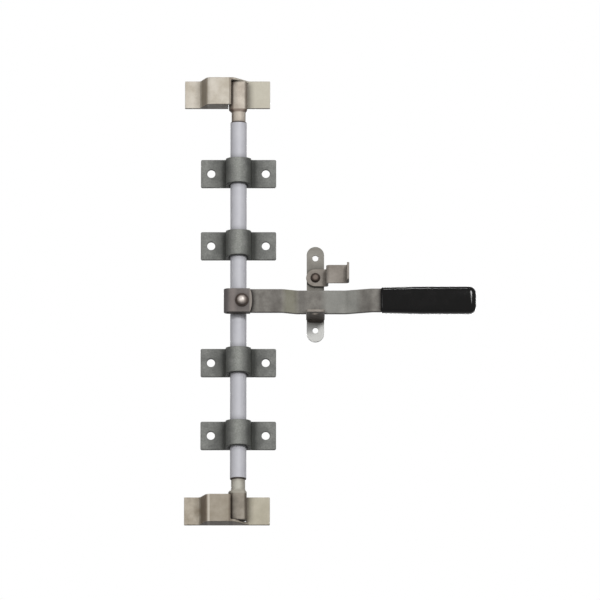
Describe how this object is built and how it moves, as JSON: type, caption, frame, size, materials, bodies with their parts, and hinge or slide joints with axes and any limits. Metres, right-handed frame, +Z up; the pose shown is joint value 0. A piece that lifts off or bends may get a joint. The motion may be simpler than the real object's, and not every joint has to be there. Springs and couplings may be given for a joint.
{
  "type": "trailer door bar latch",
  "caption": "Bar latch for a trailer door: a turning tube in four guides with a cam and keeper at each end, a swinging handle, and a catch with a padlock hasp.",
  "frame": {"origin": "centre of the outer guides' four screw holes, on the face of the door", "axes": "+Z up along the bar, +X along the closed handle from the bar to the grip, +Y into the door"},
  "size_m": [0.3933, 0.054, 0.615],
  "materials": {
    "keeper_steel": "satin",
    "cast_guide": "matte",
    "tube_steel": "satin",
    "bar_steel": "satin",
    "weld_metal": "rough",
    "grip_plastic": "gloss"
  },
  "bodies": {
    "door_side": {"upper_keeper": "keeper_steel", "lower_keeper": "keeper_steel", "top_guide": "cast_guide", "upper_guide": "cast_guide", "lower_guide": "cast_guide", "bottom_guide": "cast_guide", "catch_plate": "bar_steel", "catch_shelf": "bar_steel", "catch_shelf_weld": "weld_metal", "hasp_rivet": "bar_steel", "hasp_washer": "bar_steel"},
    "turning_bar": {"lock_rod": "tube_steel", "upper_cam": "keeper_steel", "lower_cam": "keeper_steel", "upper_cam_weld": "weld_metal", "lower_cam_weld": "weld_metal", "hub_strap": "bar_steel", "hub_welds": "weld_metal", "handle_rivet": "bar_steel", "handle_rivet_washer": "bar_steel"},
    "handle": {"handle_bar": "bar_steel", "hand_grip": "grip_plastic"},
    "hasp": {"lock_hasp": "bar_steel"}
  },
  "joints": [
    {"name": "rod_turn", "type": "hinge", "parent": "door_side", "child": "turning_bar", "pos_m": [0, -0.01415, 0.003], "axis": [0, 0, -1], "range_deg": [0, 90]},
    {"name": "handle_lift", "type": "hinge", "parent": "turning_bar", "child": "handle", "pos_m": [0.0049, -0.03245, -0.002], "axis": [0, -1, 0], "range_deg": [0, 2]},
    {"name": "hasp_swing", "type": "hinge", "parent": "door_side", "child": "hasp", "pos_m": [0.104, -0.006, 0.036], "axis": [0, 1, 0], "range_deg": [-90, 90]}
  ]
}
